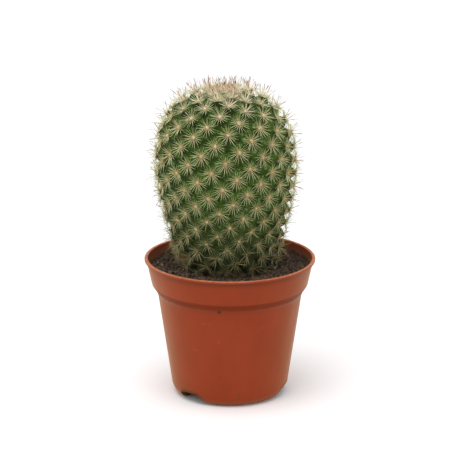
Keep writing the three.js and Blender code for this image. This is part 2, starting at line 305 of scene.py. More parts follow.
potSizes = {
    "height": 0.086,
    "lipRadius": 0.0525,
    "lipHeight": 0.0015,
    "lipRound": 0.0006,
    "underLipRound": 0.0004,
    "lipCorner": 0.0003,
    "collarTopRadius": 0.0512,
    "collarFootRadius": 0.048,
    "collarFootZ": 0.0697,
    "collarFootRound": 0.0016,
    "wallTopRadius": 0.0445,
    "wallTopZ": 0.0647,
    "wallTopRound": 0.013,
    "footRadius": 0.0349,  # where the wall's line would reach the ground
    "footRound": 0.0077,
    "ringWidth": 0.00995,  # the ring that the pot stands on
    "ringSlope": 0.0015,
    "ringRound": 0.0008,
    "baseRise": 0.0016,
    "wall": 0.0008,
    "longestStep": 0.0022,
    "sides": 288,
}
drainSizes = {
    "angles": (-134, -14, 106),
    "width": 0.0188,
    "height": 0.0065,
    "innerEnd": 0.020,
    "innerFade": 0.002,
    "archPower": 2.4,  # how square the arch is
    "blend": 0.0006,
    "reach": 0.012,  # nothing above this height is lifted
    "holeRadius": 0.0018,
    "holeSide": 0.0068,
    "holeReach": 0.0332,
    "holeDepth": 0.012,
    "holeZ": 0.004,
    "holeSides": 24,
}
potTones = {
    "wall": (134, 49, 25),
    "wallPale": (141, 53, 29),
    "streak": (126, 46, 24),
    # painted shade under the lip and the collar
    "paintedShade": (102, 40, 24),
    # paler lip: wear, and a painted highlight on its rounded top
    "wearAndHighlight": (186, 108, 80),
    "chipped": (226, 178, 152),
    "scuffed": (176, 92, 64),
    # painted shade in the drainage channels
    "channelShade": (48, 20, 15),
    # painted shade along the foot where it meets the floor
    "foot": (76, 28, 19),
    "soiled": (144, 85, 68),
    "soiledDark": (128, 82, 68),
    "splashed": (88, 70, 56),
}
# how far from the top, the collar or the channels the painted bands reach, and how softly they fade; the
# bands under the lip, under the collar and in the channels are painted shade
potBands = {
    "lip": 0.0005,
    "lipFade": 0.0003,
    "underLip": (0.0048, 0.0013),
    "underLipFade": 0.0026,
    "underCollar": 0.0030,
    "underCollarFade": 0.0064,
    "collarFade": 0.0010,
    "collarOverlap": 0.0002,
    "matt": 0.0011,
    "channel": 0.0009,
    "dust": 0.0008,
    "dustFade": 0.003,
    "underside": 0.004,  # nothing below this height counts as the inside
    "slack": 0.0005,
    "footShade": (0.0012, 0.0004),  # heights between which the foot turns dark, painted shade where it meets the floor
    "splash": (0.0845, 0.0800),  # heights between which splashed soil grows thick
}
# marks on the wall: place, width and height, colour and how strong
potMarks = (
    ((-0.0064, -0.0442, 0.0646), (0.0014, 0.0014), (56, 24, 16), 0.9),
    ((0.0056, -0.0355, 0.0076), (0.0012, 0.0030), (102, 58, 28), 0.5),
    ((-0.0209, -0.0346, 0.0375), (0.0026, 0.0007), (172, 88, 62), 0.2),
    ((-0.0161, -0.0401, 0.0560), (0.0022, 0.0009), (164, 80, 54), 0.2),
    ((-0.0069, -0.0408, 0.0444), (0.0014, 0.0016), (158, 76, 50), 0.25),
    ((-0.0061, -0.0374, 0.0203), (0.0011, 0.0013), (112, 50, 30), 0.45),
)


def roundedLine(corners, step=0.0006):
    # corners are (radius, height, rounding), and the roundings are arcs
    points = [Vector(corners[0][:2])]
    for before, corner, after in zip(corners, corners[1:], corners[2:]):
        here = Vector(corner[:2])
        toBefore = (Vector(before[:2]) - here).normalized()
        toAfter = (Vector(after[:2]) - here).normalized()
        turn = math.pi - toBefore.angle(toAfter)
        if corner[2] <= 0 or turn < 0.02:
            points.append(here)
            continue
        reach = corner[2] * math.tan(turn / 2)
        middle = (toBefore + toAfter).normalized() * (corner[2] / math.cos(turn / 2))
        start = toBefore * reach - middle
        end = toAfter * reach - middle
        count = max(3, int(corner[2] * turn / step) + 1)
        for i in range(count + 1):
            first = math.sin((1 - i / count) * turn) / math.sin(turn)
            second = math.sin(i / count * turn) / math.sin(turn)
            points.append(here + middle + start * first + end * second)
    points.append(Vector(corners[-1][:2]))
    return points


def potOutline(inset):
    # the pot's outer line from the axis to under the lip, or one that far inside it
    s = potSizes
    foot = s["footRadius"]
    ringEnd = foot - s["ringWidth"]
    rise = s["baseRise"] + inset
    return [
        (0.0, rise, 0.0),
        (ringEnd - s["ringSlope"], rise, s["ringSlope"]),
        (ringEnd, inset, s["ringRound"]),
        (foot - inset * 0.86, inset, s["footRound"] - inset),  # keeps the wall's thickness in the bend
        (s["wallTopRadius"] - inset, s["wallTopZ"] + inset * 0.5, s["wallTopRound"]),
        (s["collarFootRadius"] - inset, s["collarFootZ"] + inset * 0.5, s["collarFootRound"]),
    ]


def collarSlope():
    s = potSizes
    return (s["collarTopRadius"] - s["collarFootRadius"]) / (s["height"] - s["collarFootZ"])


def resample(points, longest):
    # adds points so that no step of the outline is longer than asked
    dense = [points[0]]
    for before, after in zip(points, points[1:]):
        count = max(1, math.ceil((after - before).length / longest))
        dense += [before.lerp(after, (i + 1) / count) for i in range(count)]
    return dense


def ringFaces(rows, sides):
    # rows of points round the axis, with a single point before the first and after the last
    faces = []
    for j in range(sides):
        k = (j + 1) % sides
        faces.append((0, 1 + k, 1 + j))
        for row in range(rows - 1):
            a, b = 1 + row * sides, 1 + (row + 1) * sides
            faces.append((a + j, a + k, b + k, b + j))
        last = 1 + (rows - 1) * sides
        faces.append((last + j, last + k, 1 + rows * sides))
    return faces


def turnedShell(section, sides):
    # the section starts and ends on the axis, its outer face first
    ring = np.linspace(0, 2 * np.pi, sides, endpoint=False)
    points = [(0, 0, section[0][1])]
    for radius, z in section[1:-1]:
        points += [(radius * math.cos(a), radius * math.sin(a), z) for a in ring]
    points.append((0, 0, section[-1][1]))
    return np.array(points), ringFaces(len(section) - 2, sides)


def drainLift(points, skin):
    # height of the arched channels over each point, for the outer face (0) or one that far inside it
    d = drainSizes
    lift = np.full(len(points), -1.0)
    for degrees in d["angles"]:
        cos, sin = cosSin(degrees)
        along = points[:, 0] * cos + points[:, 1] * sin
        side = np.abs(-points[:, 0] * sin + points[:, 1] * cos) / (d["width"] / 2 + skin)
        arch = (d["height"] + skin) * held(1 - held(side) ** d["archPower"]) ** 0.4
        gate = eased(held((along - d["innerEnd"] + skin) / d["innerFade"]))
        lift = np.maximum(lift, np.where((side < 1) & (along > 0), arch * gate, -1.0))
    return lift


def softMax(a, b, width):
    # the higher of the two, with a round between them
    h = held(0.5 + 0.5 * (a - b) / width)
    return b * (1 - h) + a * h + width * h * (1 - h)


def liftOverDrains(points, chosen, skin):
    # raises the chosen points that a channel runs under
    lift = drainLift(points[chosen], skin)
    z = points[chosen, 2]
    points[chosen, 2] = np.where(lift > -0.5, softMax(z, lift, drainSizes["blend"]), z)


def makePot():
    s = potSizes
    top = s["height"]
    lipFoot = top - s["lipHeight"]
    outside = potOutline(0.0) + [
        (s["collarTopRadius"], lipFoot - s["lipCorner"], s["lipCorner"]),
        (s["lipRadius"], lipFoot, s["underLipRound"]),
        (s["lipRadius"], top, s["lipRound"]),
        (s["collarTopRadius"] - s["wall"], top, s["lipRound"]),
    ]
    section = resample(roundedLine(outside + potOutline(s["wall"])[::-1]), s["longestStep"])
    points, faces = turnedShell([tuple(p) for p in section], s["sides"])
    highest = int(np.argmax([p[1] for p in section]))
    isInside = np.arange(len(points)) > highest * s["sides"]
    low = points[:, 2] < drainSizes["reach"]
    liftOverDrains(points, low & ~isInside, 0.0)
    liftOverDrains(points, low & isInside, s["wall"])
    pot = meshObject("pot_fine", points, faces)
    holes = makeHoleCutter()
    cut = pot.modifiers.new("drains", "BOOLEAN")
    cut.operation, cut.solver, cut.object = "DIFFERENCE", "MANIFOLD", holes
    mesh = evaluatedMesh(pot)
    bpy.data.objects.remove(holes)
    mesh.materials.clear()
    mesh.shade_smooth()
    paintPot(mesh)
    return pot


def makeHoleCutter():
    # two round pegs in each channel
    d = drainSizes
    pegs = bmesh.new()
    for degrees in d["angles"]:
        cos, sin = cosSin(degrees)
        for side in (-1, 1):
            x, y = d["holeReach"], side * d["holeSide"]
            spot = Vector((x * cos - y * sin, x * sin + y * cos, d["holeZ"]))
            peg = bmesh.ops.create_cone(pegs, cap_ends=True, segments=d["holeSides"], depth=d["holeDepth"],
                                        radius1=d["holeRadius"], radius2=d["holeRadius"])
            bmesh.ops.translate(pegs, verts=peg["verts"], vec=spot)
    mesh = bpy.data.meshes.new("drain_cutter")
    pegs.to_mesh(mesh)
    pegs.free()
    return linkObject(bpy.data.objects.new("drain_cutter", mesh))


def paintPot(mesh):
    # how pale the lip is (wear and a painted highlight), and how dark the painted shade under it and under
    # the collar is
    s, bands = potSizes, potBands
    points = np.empty(len(mesh.vertices) * 3)
    mesh.vertices.foreach_get("co", points)
    points = points.reshape(-1, 3)
    reach, z = np.hypot(points[:, 0], points[:, 1]), points[:, 2]
    wallSlope = (s["wallTopRadius"] - s["footRadius"]) / s["wallTopZ"]
    collarSkin = s["collarFootRadius"] + (z - s["collarFootZ"]) * collarSlope()
    wallSkin = s["footRadius"] + z * wallSlope
    skin = np.where(z > s["collarFootZ"] - bands["slack"], collarSkin, wallSkin)
    step = (z > s["wallTopZ"] - bands["slack"]) & (z < s["collarFootZ"])
    inside = (reach < skin - s["wall"] / 2) & ~step & (z > bands["underside"])
    fromTop = s["height"] - z
    lip = held((bands["lip"] - fromTop) / bands["lipFade"])
    collarFoot = s["collarFootZ"] + bands["collarOverlap"]
    # painted shade under the collar and under the lip
    underCollar = held((z - (s["wallTopZ"] - bands["underCollar"])) / bands["underCollarFade"])
    underCollar *= held((collarFoot - z) / bands["collarFade"])
    lowest, highest = bands["underLip"]
    underLip = held((lowest - fromTop) / bands["underLipFade"]) * (fromTop > highest)
    # painted shade in the drainage channels, under the arches
    roof = drainLift(points, bands["channel"])
    channel = held(1 - (z - roof) / bands["channel"]) * (roof > 0)
    storeAttribute(mesh, "channel", channel)
    storeAttribute(mesh, "lip", lip)
    storeAttribute(mesh, "paintedShade", np.where(inside, 0, np.maximum(underCollar, underLip)))
    dusty = held((fromTop - bands["dust"]) / bands["dustFade"])
    storeAttribute(mesh, "inside", np.where(inside, dusty, 0))
    # the inside and the top of the step under the collar have the matt material
    matt = inside | ((z > s["wallTopZ"] + bands["matt"]) & (z < collarFoot))
    corners = np.empty(len(mesh.loops), int)
    mesh.loops.foreach_get("vertex_index", corners)
    starts = np.empty(len(mesh.polygons), int)
    mesh.polygons.foreach_get("loop_start", starts)
    mesh.polygons.foreach_set("material_index", matt[corners[starts]].astype(np.int32))


def potMaterial(name, gloss, sheen):
    tones, bands = potTones, potBands
    material, tree, shader = newMaterial(name, 0.36, Specular_IOR_Level=gloss, Sheen_Weight=sheen,
                                         Sheen_Roughness=0.5, Sheen_Tint=(1.0, 0.8, 0.15, 1))
    place = objectPlace(tree)
    height = parted(tree, place)["Z"]
    broad = noiseTexture(tree, place, 38, 2)
    streaks = noiseTexture(tree, objectPlace(tree, (1, 1, 0.12)), 160, 3)
    colour = mixColour(tree, ramp(tree, broad, 0.35, 0.7), tones["wall"], tones["wallPale"])
    colour = mixColour(tree, ramp(tree, streaks, 0.5, 0.75, 0.25), colour, tones["streak"])
    # painted shade under the lip and the collar
    shadeShare = ramp(tree, attributeValue(tree, "paintedShade"), 0.0, 1.0, 0.9)
    colour = mixColour(tree, shadeShare, colour, tones["paintedShade"])
    # worn along its edge, and paler there as a painted highlight on the lip's rounded top
    lip = attributeValue(tree, "lip")
    wear = noiseTexture(tree, place, 420, 3, 0.6)
    wearAndHighlight = times(tree, lip, mapRange(tree, wear, 0.35, 0.62, 0.45, 1.0))
    colour = mixColour(tree, wearAndHighlight, colour, tones["wearAndHighlight"])
    colour = mixColour(tree, times(tree, lip, ramp(tree, wear, 0.66, 0.7)), colour, tones["chipped"])
    scuffs = noiseTexture(tree, objectPlace(tree, (1, 1, 3.5)), 62, 5, 0.75, 1.5)
    colour = mixColour(tree, ramp(tree, scuffs, 0.66, 0.72, 0.22), colour, tones["scuffed"])
    for centre, size, tone, strength in potMarks:
        mark = times(tree, spotOn(tree, place, centre, size), strength)
        colour = mixColour(tree, mark, colour, tone)
    # painted shade in the drainage channels and along the foot
    channelShade = times(tree, attributeValue(tree, "channel"), 0.85)
    colour = mixColour(tree, channelShade, colour, tones["channelShade"])
    colour = mixColour(tree, ramp(tree, height, *bands["footShade"], 0.6), colour, tones["foot"])
    # soil splashed on the inside
    dust = noiseTexture(tree, place, 240, 3)
    splash = plus(tree, ramp(tree, height, *bands["splash"], 0.5), dust)
    soiled = mixColour(tree, ramp(tree, dust, 0.4, 0.65), tones["soiled"], tones["soiledDark"])
    soiled = mixColour(tree, ramp(tree, splash, 0.84, 1.0), soiled, tones["splashed"])
    colour = mixColour(tree, attributeValue(tree, "inside"), colour, soiled)
    tree.links.new(colour, shader.inputs["Base Color"])
    tree.links.new(mapRange(tree, streaks, 0.3, 0.7, 0.32, 0.44), shader.inputs["Roughness"])
    bumpFrom(tree, shader, noiseTexture(tree, place, 900, 2), 0.05, 0.0002)
    return material


# the soil

soilSizes = {
    "level": 0.0792,
    "roughness": 0.0008,
    "heap": 0.0026,
    "heapRadius": 0.036,
    "heapWidth": 0.007,
    "calmRadius": 0.0244,  # the waves fade out towards the stem
    "mouth": 0.0248,
    "socket": ((0.0232, 0.071), (0.0200, 0.059), (0.0, 0.0557)),
    "gap": 0.0003,
    "drainGap": 0.0002,  # more of it over the channels
    "crumbs": 0.0024,  # height of the crumbly relief
    "rimFade": 0.001,
    "mouthFade": 0.002,
    "scatterRadii": (0.0262, 0.0484),
    "scatterLift": 0.0001,
    "roundStep": 0.0012,
    "longestStep": 0.006,
    "rows": 92,
    "sides": 420,
}
soilTones = {
    "dark": (52, 43, 36),
    "pale": (109, 90, 72),
    "reddish": (88, 60, 54),
    "greenish": (52, 68, 58),
    "speck": (126, 108, 84),
}


def soilHeight(x, y):
    # the same broad face as the solid's, in millimetres inside the waves
    s = soilSizes
    u, v = x * 1000, y * 1000
    coarse = math.sin(u * 0.61 + 1.3 * math.sin(v * 0.37)) * math.cos(v * 0.53 - 0.8)
    fine = math.sin(u * 1.9 + v * 1.1) * math.sin(v * 2.3 - u * 0.7)
    reach = math.hypot(x, y)
    heap = s["heap"] * math.exp(-(((reach - s["heapRadius"]) / s["heapWidth"]) ** 2))
    calm = eased(min(max((reach - s["calmRadius"]) / (s["heapRadius"] - s["calmRadius"]), 0), 1))
    return s["level"] + heap + s["roughness"] * calm * (0.65 * coarse + 0.35 * fine)


def crumbRelief(x, y):
    # big and small crumbs as cells, with grit over them
    spot = Vector((x * 1000, y * 1000, 0.0))
    big = noise.voronoi(spot * 0.55)[0]
    small = noise.voronoi(spot * 1.15 + Vector((9, 4, 2)))[0]
    grit = noise.fractal(spot * 1.6, 0.7, 2.0, 4)
    return soilSizes["crumbs"] * (0.9 * (0.5 - big[0]) + 0.55 * (0.45 - small[0]) + 0.35 * grit)


def makeSoil():
    s = soilSizes
    inset = potSizes["wall"] + s["gap"]
    side = roundedLine(potOutline(inset), s["roundStep"])
    rim = side[-1][0] + collarSlope() * (s["level"] - side[-1][1])
    rows = s["rows"]
    top = [(rim + (s["mouth"] - rim) * i / rows, s["level"]) for i in range(rows + 1)]
    section = [tuple(p) for p in resample(side, s["longestStep"])] + top + list(s["socket"])
    points, faces = turnedShell(section, s["sides"])
    first = 1 + (len(section) - len(top) - len(s["socket"]) - 1) * s["sides"]
    for i in range(first, first + len(top) * s["sides"]):
        x, y = points[i, 0], points[i, 1]
        reach = math.hypot(x, y)
        edge = min(1, (rim - reach) / s["rimFade"]) * min(1, max(0, (reach - s["mouth"]) / s["mouthFade"]))
        points[i, 2] = soilHeight(x, y) + crumbRelief(x, y) * max(edge, 0)
    liftOverDrains(points, points[:, 2] < drainSizes["reach"], inset + s["drainGap"])
    return meshObject("soil_fine", points, faces)


def soilMaterial():
    tones = soilTones
    material, tree, shader = newMaterial("potting_soil", 0.92, Specular_IOR_Level=0.25)
    place = objectPlace(tree)
    patches = noiseTexture(tree, place, 200, 4, 0.6)
    tint = noiseTexture(tree, place, 420, 2)
    specks = noiseTexture(tree, place, 900, 3, 0.6)
    colour = mixColour(tree, ramp(tree, patches, 0.38, 0.66), tones["dark"], tones["pale"])
    colour = mixColour(tree, ramp(tree, tint, 0.58, 0.72, 0.5), colour, tones["reddish"])
    colour = mixColour(tree, ramp(tree, tint, 0.42, 0.30, 0.5), colour, tones["greenish"])
    colour = mixColour(tree, ramp(tree, specks, 0.64, 0.74, 0.6), colour, tones["speck"])
    tree.links.new(colour, shader.inputs["Base Color"])
    bumpFrom(tree, shader, noiseTexture(tree, place, 1500, 5, 0.7), 0.6, 0.0006)
    return material


# loose crumbs and fibres on the soil

crumbSizes = {
    "Count Per Area": 620000.0,
    "Least": 0.00016,
    "Most": 0.0017,
    "Flatness": 0.6,
    "Lumps": 0.0004,
    "Lump Scale": 700.0,
    "Seed": 3,
}
fibreSizes = {
    "Count Per Area": 26000.0,
    "Length": 0.0058,
    "Length Spread": 0.5,
    "Radius": 0.00009,
    "Fullness": 0.7,
    "Bend": 0.0011,
    "Lift": 0.0003,
    "Seed": 8,
}
# dark, middle and pale, and the share of the pieces that aren't pale
crumbTones = ((44, 36, 31), (91, 75, 62), (160, 142, 116), 0.955)
fibreTones = ((52, 42, 30), (118, 96, 66), (160, 140, 104), 0.8)


def soilFace():
    # a light sheet over the soil between the stem and the pot, for scattering on
    rows, sides = 16, 96
    points = []
    for radius in np.linspace(*soilSizes["scatterRadii"], rows):
        for a in np.linspace(0, 2 * np.pi, sides, endpoint=False):
            x, y = radius * math.cos(a), radius * math.sin(a)
            points.append((x, y, soilHeight(x, y) + soilSizes["scatterLift"]))
    faces = []
    for start in range(0, (rows - 1) * sides, sides):
        for j in range(sides):
            k = (j + 1) % sides
            faces.append((start + j, start + sides + j, start + sides + k, start + k))
    mesh = bpy.data.meshes.new("soil_face")
    mesh.from_pydata(points, [], faces)
    return mesh


def scatteredPoints(tree, given):
    inputs = {"Mesh": given["Geometry"], "Density": given["Count Per Area"], "Seed": given["Seed"]}
    return addNode(tree, "GeometryNodeDistributePointsOnFaces", inputs).outputs["Points"]


def crumbTree():
    tree, given = newTree("soil_crumbs_tree", crumbSizes)
    # most crumbs are small
    draw = mathNode(tree, "POWER", randomValue(tree, given, 1), 3.0)
    span = minus(tree, given["Most"], given["Least"])
    size = plus(tree, given["Least"], times(tree, draw, span))
    flat = times(tree, size, given["Flatness"])
    turn = combined(tree, *(randomValue(tree, given, step, 0.0, 6.28) for step in (2, 3, 4)))
    crumb = addNode(tree, "GeometryNodeMeshIcoSphere", {"Radius": 1.0, "Subdivisions": 1}).outputs["Mesh"]
    crumbs = standOn(tree, scatteredPoints(tree, given), crumb, turn, combined(tree, size, flat, flat))
    crumbs = keep(tree, crumbs, "shade", randomValue(tree, given, 5), "INSTANCE")
    finishTree(tree, lumpy(tree, crumbs, given), given["Material"])
    return tree


def fibreTree():
    tree, given = newTree("soil_fibres_tree", fibreSizes)
    lift = combined(tree, 0.0, 0.0, given["Lift"])
    points = shifted(tree, scatteredPoints(tree, given), Offset=lift)
    along = parted(tree, pointPlace(tree))["Z"]
    wave = times(tree, mathNode(tree, "SINE", times(tree, along, 4.0)), given["Bend"])
    fibre = slimCone(tree, 3, 6, given["Radius"], given["Fullness"], wave, sunk=0.5)
    # lying nearly flat, any way round
    tilt, heading = randomValue(tree, given, 1, 1.42, 1.66), randomValue(tree, given, 2, 0.0, 6.28)
    length = times(tree, given["Length"], plus(tree, 1.0, wander(tree, given, 3, "Length Spread")))
    turned = combined(tree, tilt, 0.0, heading)
    fibres = standOn(tree, points, fibre, turned, combined(tree, 1.0, 1.0, length))
    fibres = keep(tree, fibres, "shade", randomValue(tree, given, 5), "INSTANCE")
    finishTree(tree, fibres, given["Material"])
    return tree


def crumbMaterial(name, dark, middle, pale, paleFrom):
    material, tree, shader = newMaterial(name, 0.9, Specular_IOR_Level=0.2)
    shade = attributeValue(tree, "shade")
    colour = mixColour(tree, ramp(tree, shade, 0.0, 0.7), dark, middle)
    colour = mixColour(tree, ramp(tree, shade, paleFrom, paleFrom + 0.02), colour, pale)
    tree.links.new(colour, shader.inputs["Base Color"])
    return material


# the stem's outline and the rule that places its tubercles

stemSizes = {
    "radius": 0.0424,
    "widestZ": 0.142,
    "shoulderRise": 0.049,
    "shoulderPower": 2.6,
    "waistShare": 0.3095,  # how much narrower the stem is one waistDrop below its widest
    "waistDrop": 0.060,
    "waistPower": 1.4,
    "endZ": 0.066,
    "fineStep": 0.0002,
    "leanOffset": -0.0014,
    "leanSlope": -0.0175,
}
tubercleRule = {
    "divergence": 137.56,
    "startAngle": 24.4,
    "cellArea": 172.1e-6,  # skin for each full-grown tubercle
    "crowding": 42.65,  # how slowly the young ones near the crown reach it
    "shrink": 0.1535e-6,
    "lowestZ": 0.0814,
    "fullCell": 0.0109,
    "leastCell": 0.0030,
}


def stemOutline():
    # a superellipse for the shoulder and a power curve for the waist, from the crown down
    s = stemSizes
    angle = np.linspace(math.pi / 2, 0, 401)[1:]
    power = 2 / s["shoulderPower"]
    lowZ = np.arange(s["widestZ"] - s["fineStep"], s["endZ"], -s["fineStep"])
    narrowing = s["waistShare"] * ((s["widestZ"] - lowZ) / s["waistDrop"]) ** s["waistPower"]
    radius = np.concatenate([s["radius"] * np.cos(angle) ** power, s["radius"] * (1 - narrowing)])
    z = np.concatenate([s["widestZ"] + s["shoulderRise"] * np.sin(angle) ** power, lowZ])
    step = np.hypot(np.diff(radius), np.diff(z))
    arc = np.concatenate([[0], np.cumsum(step)]) + radius[0]
    ringArea = math.pi * (radius[1:] + radius[:-1]) * step
    area = np.concatenate([[0], np.cumsum(ringArea)]) + math.pi * radius[0] ** 2
    outR, outZ = -np.gradient(z), np.gradient(radius)
    length = np.hypot(outR, outZ)
    return {"radius": radius, "z": z, "arc": arc, "area": area, "outR": outR / length, "outZ": outZ / length}


def readOutline(table, column, values):
    return {key: np.interp(values, table[column], table[key]) for key in table}


def leaning(points):
    s = stemSizes
    above = np.maximum(points[:, 2], soilSizes["level"]) - soilSizes["level"]
    moved = points.copy()
    moved[:, 0] += s["leanOffset"] + s["leanSlope"] * above
    return moved


def placeTubercles(table):
    rule = tubercleRule

    def areaAbove(i):
        return rule["cellArea"] * i ** 2 / (i + rule["crowding"]) - rule["shrink"] * i ** 2

    index = np.arange(400.0)
    spot = readOutline(table, "area", areaAbove(index))
    kept = spot["z"] >= rule["lowestZ"]
    index = index[kept]
    spot = {key: value[kept] for key, value in spot.items()}
    angle = np.radians(rule["startAngle"] + index * rule["divergence"])
    cos, sin = np.cos(angle), np.sin(angle)
    above = areaAbove(np.maximum(index - 0.5, 0))
    width = np.sqrt(np.maximum(areaAbove(index + 0.5) - above, rule["leastCell"] ** 2))
    width = np.minimum(width, rule["fullCell"])
    return {
        "at": np.stack([spot["radius"] * cos, spot["radius"] * sin, spot["z"]], 1),
        "out": np.stack([spot["outR"] * cos, spot["outR"] * sin, spot["outZ"]], 1),
        "uphill": np.stack([-spot["outZ"] * cos, -spot["outZ"] * sin, spot["outR"]], 1),
        "size": width / rule["fullCell"],
        "age": index / index.max(),
        "width": width,
    }


stem = stemOutline()
tubercles = placeTubercles(stem)
print("tubercles", len(tubercles["at"]))


# the green body

bodySizes = {
    "sides": 360,
    "firstRow": 0.0006,  # how far from the crown's middle, along the skin
    "rowStep": 0.00056,
    "bottomZ": 0.0800,
    "neckRadius": 0.0243,
    "neckHeight": 0.0035,
    "foot": ((0.0243, 0.0795), (0.0226, 0.071), (0.0194, 0.059)),
    "footEndZ": 0.0562,
    "tip": 0.09,  # the tubercle's blunt top, its flank and the valleys' depth, in cell widths
    "flank": 0.52,
    "depth": 0.4664,
    "deepest": 1.1,
    "flankPower": 1.15,
    "sharpness": 26,  # of the line between two tubercles
}
skinTones = {
    "dark": (37, 57, 12),
    "light": (80, 107, 38),
    # painted shadow of the spines round each areole
    "spineShadow": (32, 50, 14),
    # painted shade in the valleys between the tubercles
    "valley": (26, 40, 10),
    # painted highlights on the sides of the tubercles
    "paintedSheen": (134, 162, 104),
    # painted shadow under each areole
    "shadowUnderAreole": (24, 34, 8),
    "overAreole": (88, 90, 34),
    "newest": (194, 188, 144),
    # painted shade, darker towards the bottom of the body
    "old": (47, 51, 27),
    "cork": (58, 52, 36),
    "corkPale": (98, 86, 62),
    "dried": (146, 118, 80),
}
# heights between which the skin darkens towards the bottom as painted shade and then turns corky, and ages
# at which it stops being new
skinSpans = {"old": (0.132, 0.092), "cork": (0.0850, 0.0820), "newest": (0.02, 0.066)}
driedPatch = {"centre": (-0.0285, -0.0070, 0.0872), "size": (0.0085, 0.0062), "strength": 0.8}


def nearestTubercle(skin):
    # for each point its tubercle and how far off that is in cell widths, plain and softened
    nearest = np.empty(len(skin), int)
    share, softened = np.empty(len(skin)), np.empty(len(skin))
    for start in range(0, len(skin), 8000):
        part = slice(start, start + 8000)
        gap = np.linalg.norm(skin[part, None, :] - tubercles["at"][None], axis=2) / tubercles["width"][None]
        nearest[part] = gap.argmin(1)
        share[part] = gap.min(1)
        softened[part] = -np.log(np.exp(-bodySizes["sharpness"] * gap).sum(1)) / bodySizes["sharpness"]
    return nearest, share, softened


def makeBody():
    b = bodySizes
    rows = readOutline(stem, "arc", np.arange(b["firstRow"], stem["arc"][-1], b["rowStep"]))
    kept = rows["z"] > b["bottomZ"]
    rows = {key: value[kept][:, None] for key, value in rows.items()}
    ring = np.linspace(0, 2 * np.pi, b["sides"], endpoint=False)
    cos, sin = np.cos(ring), np.sin(ring)

    def swept(radial, upright):
        return np.stack(np.broadcast_arrays(radial * cos, radial * sin, upright), -1).reshape(-1, 3)

    skin, out = swept(rows["radius"], rows["z"]), swept(rows["outR"], rows["outZ"])
    nearest, share, softened = nearestTubercle(skin)
    hollow = np.clip((softened - b["tip"]) / b["flank"], 0, b["deepest"]) ** b["flankPower"]
    points = skin - out * (b["depth"] * tubercles["width"][nearest] * hollow)[:, None]
    # near the soil the body draws in to its foot
    draw = np.sqrt(held((skin[:, 2] - b["bottomZ"]) / b["neckHeight"]))
    reach = np.hypot(points[:, 0], points[:, 1])
    points[:, :2] *= ((b["neckRadius"] + (reach - b["neckRadius"]) * draw) / reach)[:, None]
    away = skin - tubercles["at"][nearest]
    uphill = (away * tubercles["uphill"][nearest]).sum(1) / tubercleRule["fullCell"]
    crown = [[0, 0, points[: b["sides"], 2].mean()]]
    below = [swept(np.array([[radius]]), z) for radius, z in b["foot"]]
    whole = np.concatenate([crown, points, *below, [[0, 0, b["footEndZ"]]]])
    # these rows run downwards, so their faces are turned over
    faces = ringFaces((len(whole) - 2) // b["sides"], b["sides"])
    faces = [face[:1] + face[:0:-1] for face in faces]
    body = meshObject("cactus_body", leaning(whole), faces)

    def keepOn(name, values, atCrown, atFoot):
        rest = np.full(len(whole) - 1 - len(values), atFoot)
        storeAttribute(body.data, name, np.concatenate([[atCrown], values, rest]))

    keepOn("hollow", hollow, 1, 1)
    keepOn("fromAreole", share, 1, 1)
    keepOn("uphill", uphill, 0, 0)
    keepOn("age", tubercles["age"][nearest], 0, 1)
    print("cactus_body", len(faces), "faces")
    return body


def bodyMaterial():
    tones, spans = skinTones, skinSpans
    material, tree, shader = newMaterial("cactus_skin", 0.5, Specular_IOR_Level=0.08,
                                         Subsurface_Weight=0.08, Subsurface_Scale=0.002)
    place = objectPlace(tree)
    height = parted(tree, place)["Z"]
    hollow = attributeValue(tree, "hollow")
    fromAreole = attributeValue(tree, "fromAreole")
    uphill = attributeValue(tree, "uphill")
    mottle = noiseTexture(tree, place, 330, 4, 0.6)
    colour = mixColour(tree, ramp(tree, mottle, 0.35, 0.68), tones["dark"], tones["light"])
    # painted shadow of the spines round each areole
    colour = mixColour(tree, ramp(tree, fromAreole, 0.40, 0.22, 0.7), colour, tones["spineShadow"])
    # painted shade in the valleys between the tubercles
    colour = mixColour(tree, ramp(tree, hollow, 0.6, 1.0, 0.5), colour, tones["valley"])
    # pale patches on the sides of the tubercles: painted highlights for the skin's glossy sheen
    paintedSheen = noiseTexture(tree, place, 440, 3, 0.6)
    sheenShare = times(tree, ramp(tree, paintedSheen, 0.57, 0.67, 0.6), ramp(tree, hollow, 0.12, 0.3))
    colour = mixColour(tree, sheenShare, colour, tones["paintedSheen"])
    # deep green under each areole as painted shadow, olive just above it
    under = times(tree, ramp(tree, uphill, -0.04, -0.22), ramp(tree, fromAreole, 0.56, 0.36, 0.8))
    colour = mixColour(tree, under, colour, tones["shadowUnderAreole"])
    over = times(tree, ramp(tree, uphill, 0.0, 0.16), ramp(tree, fromAreole, 0.34, 0.14))
    colour = mixColour(tree, over, colour, tones["overAreole"])
    newest = mapRange(tree, attributeValue(tree, "age"), *spans["newest"], 0.75, 0.0)
    colour = mixColour(tree, newest, colour, tones["newest"])
    # darker towards the bottom: painted shade for the lower body
    colour = mixColour(tree, ramp(tree, height, *spans["old"], 0.95), colour, tones["old"])
    # the corky foot at the soil
    cork = mixColour(tree, ramp(tree, mottle, 0.42, 0.6), tones["cork"], tones["corkPale"])
    colour = mixColour(tree, ramp(tree, height, *spans["cork"]), colour, cork)
    # a dried, tan patch low on one side
    dried = spotOn(tree, place, driedPatch["centre"], driedPatch["size"])
    colour = mixColour(tree, times(tree, dried, driedPatch["strength"]), colour, tones["dried"])
    tree.links.new(colour, shader.inputs["Base Color"])
    bumpFrom(tree, shader, noiseTexture(tree, place, 1600, 3), 0.12, 0.0003)
    return material


# the spines and the wool

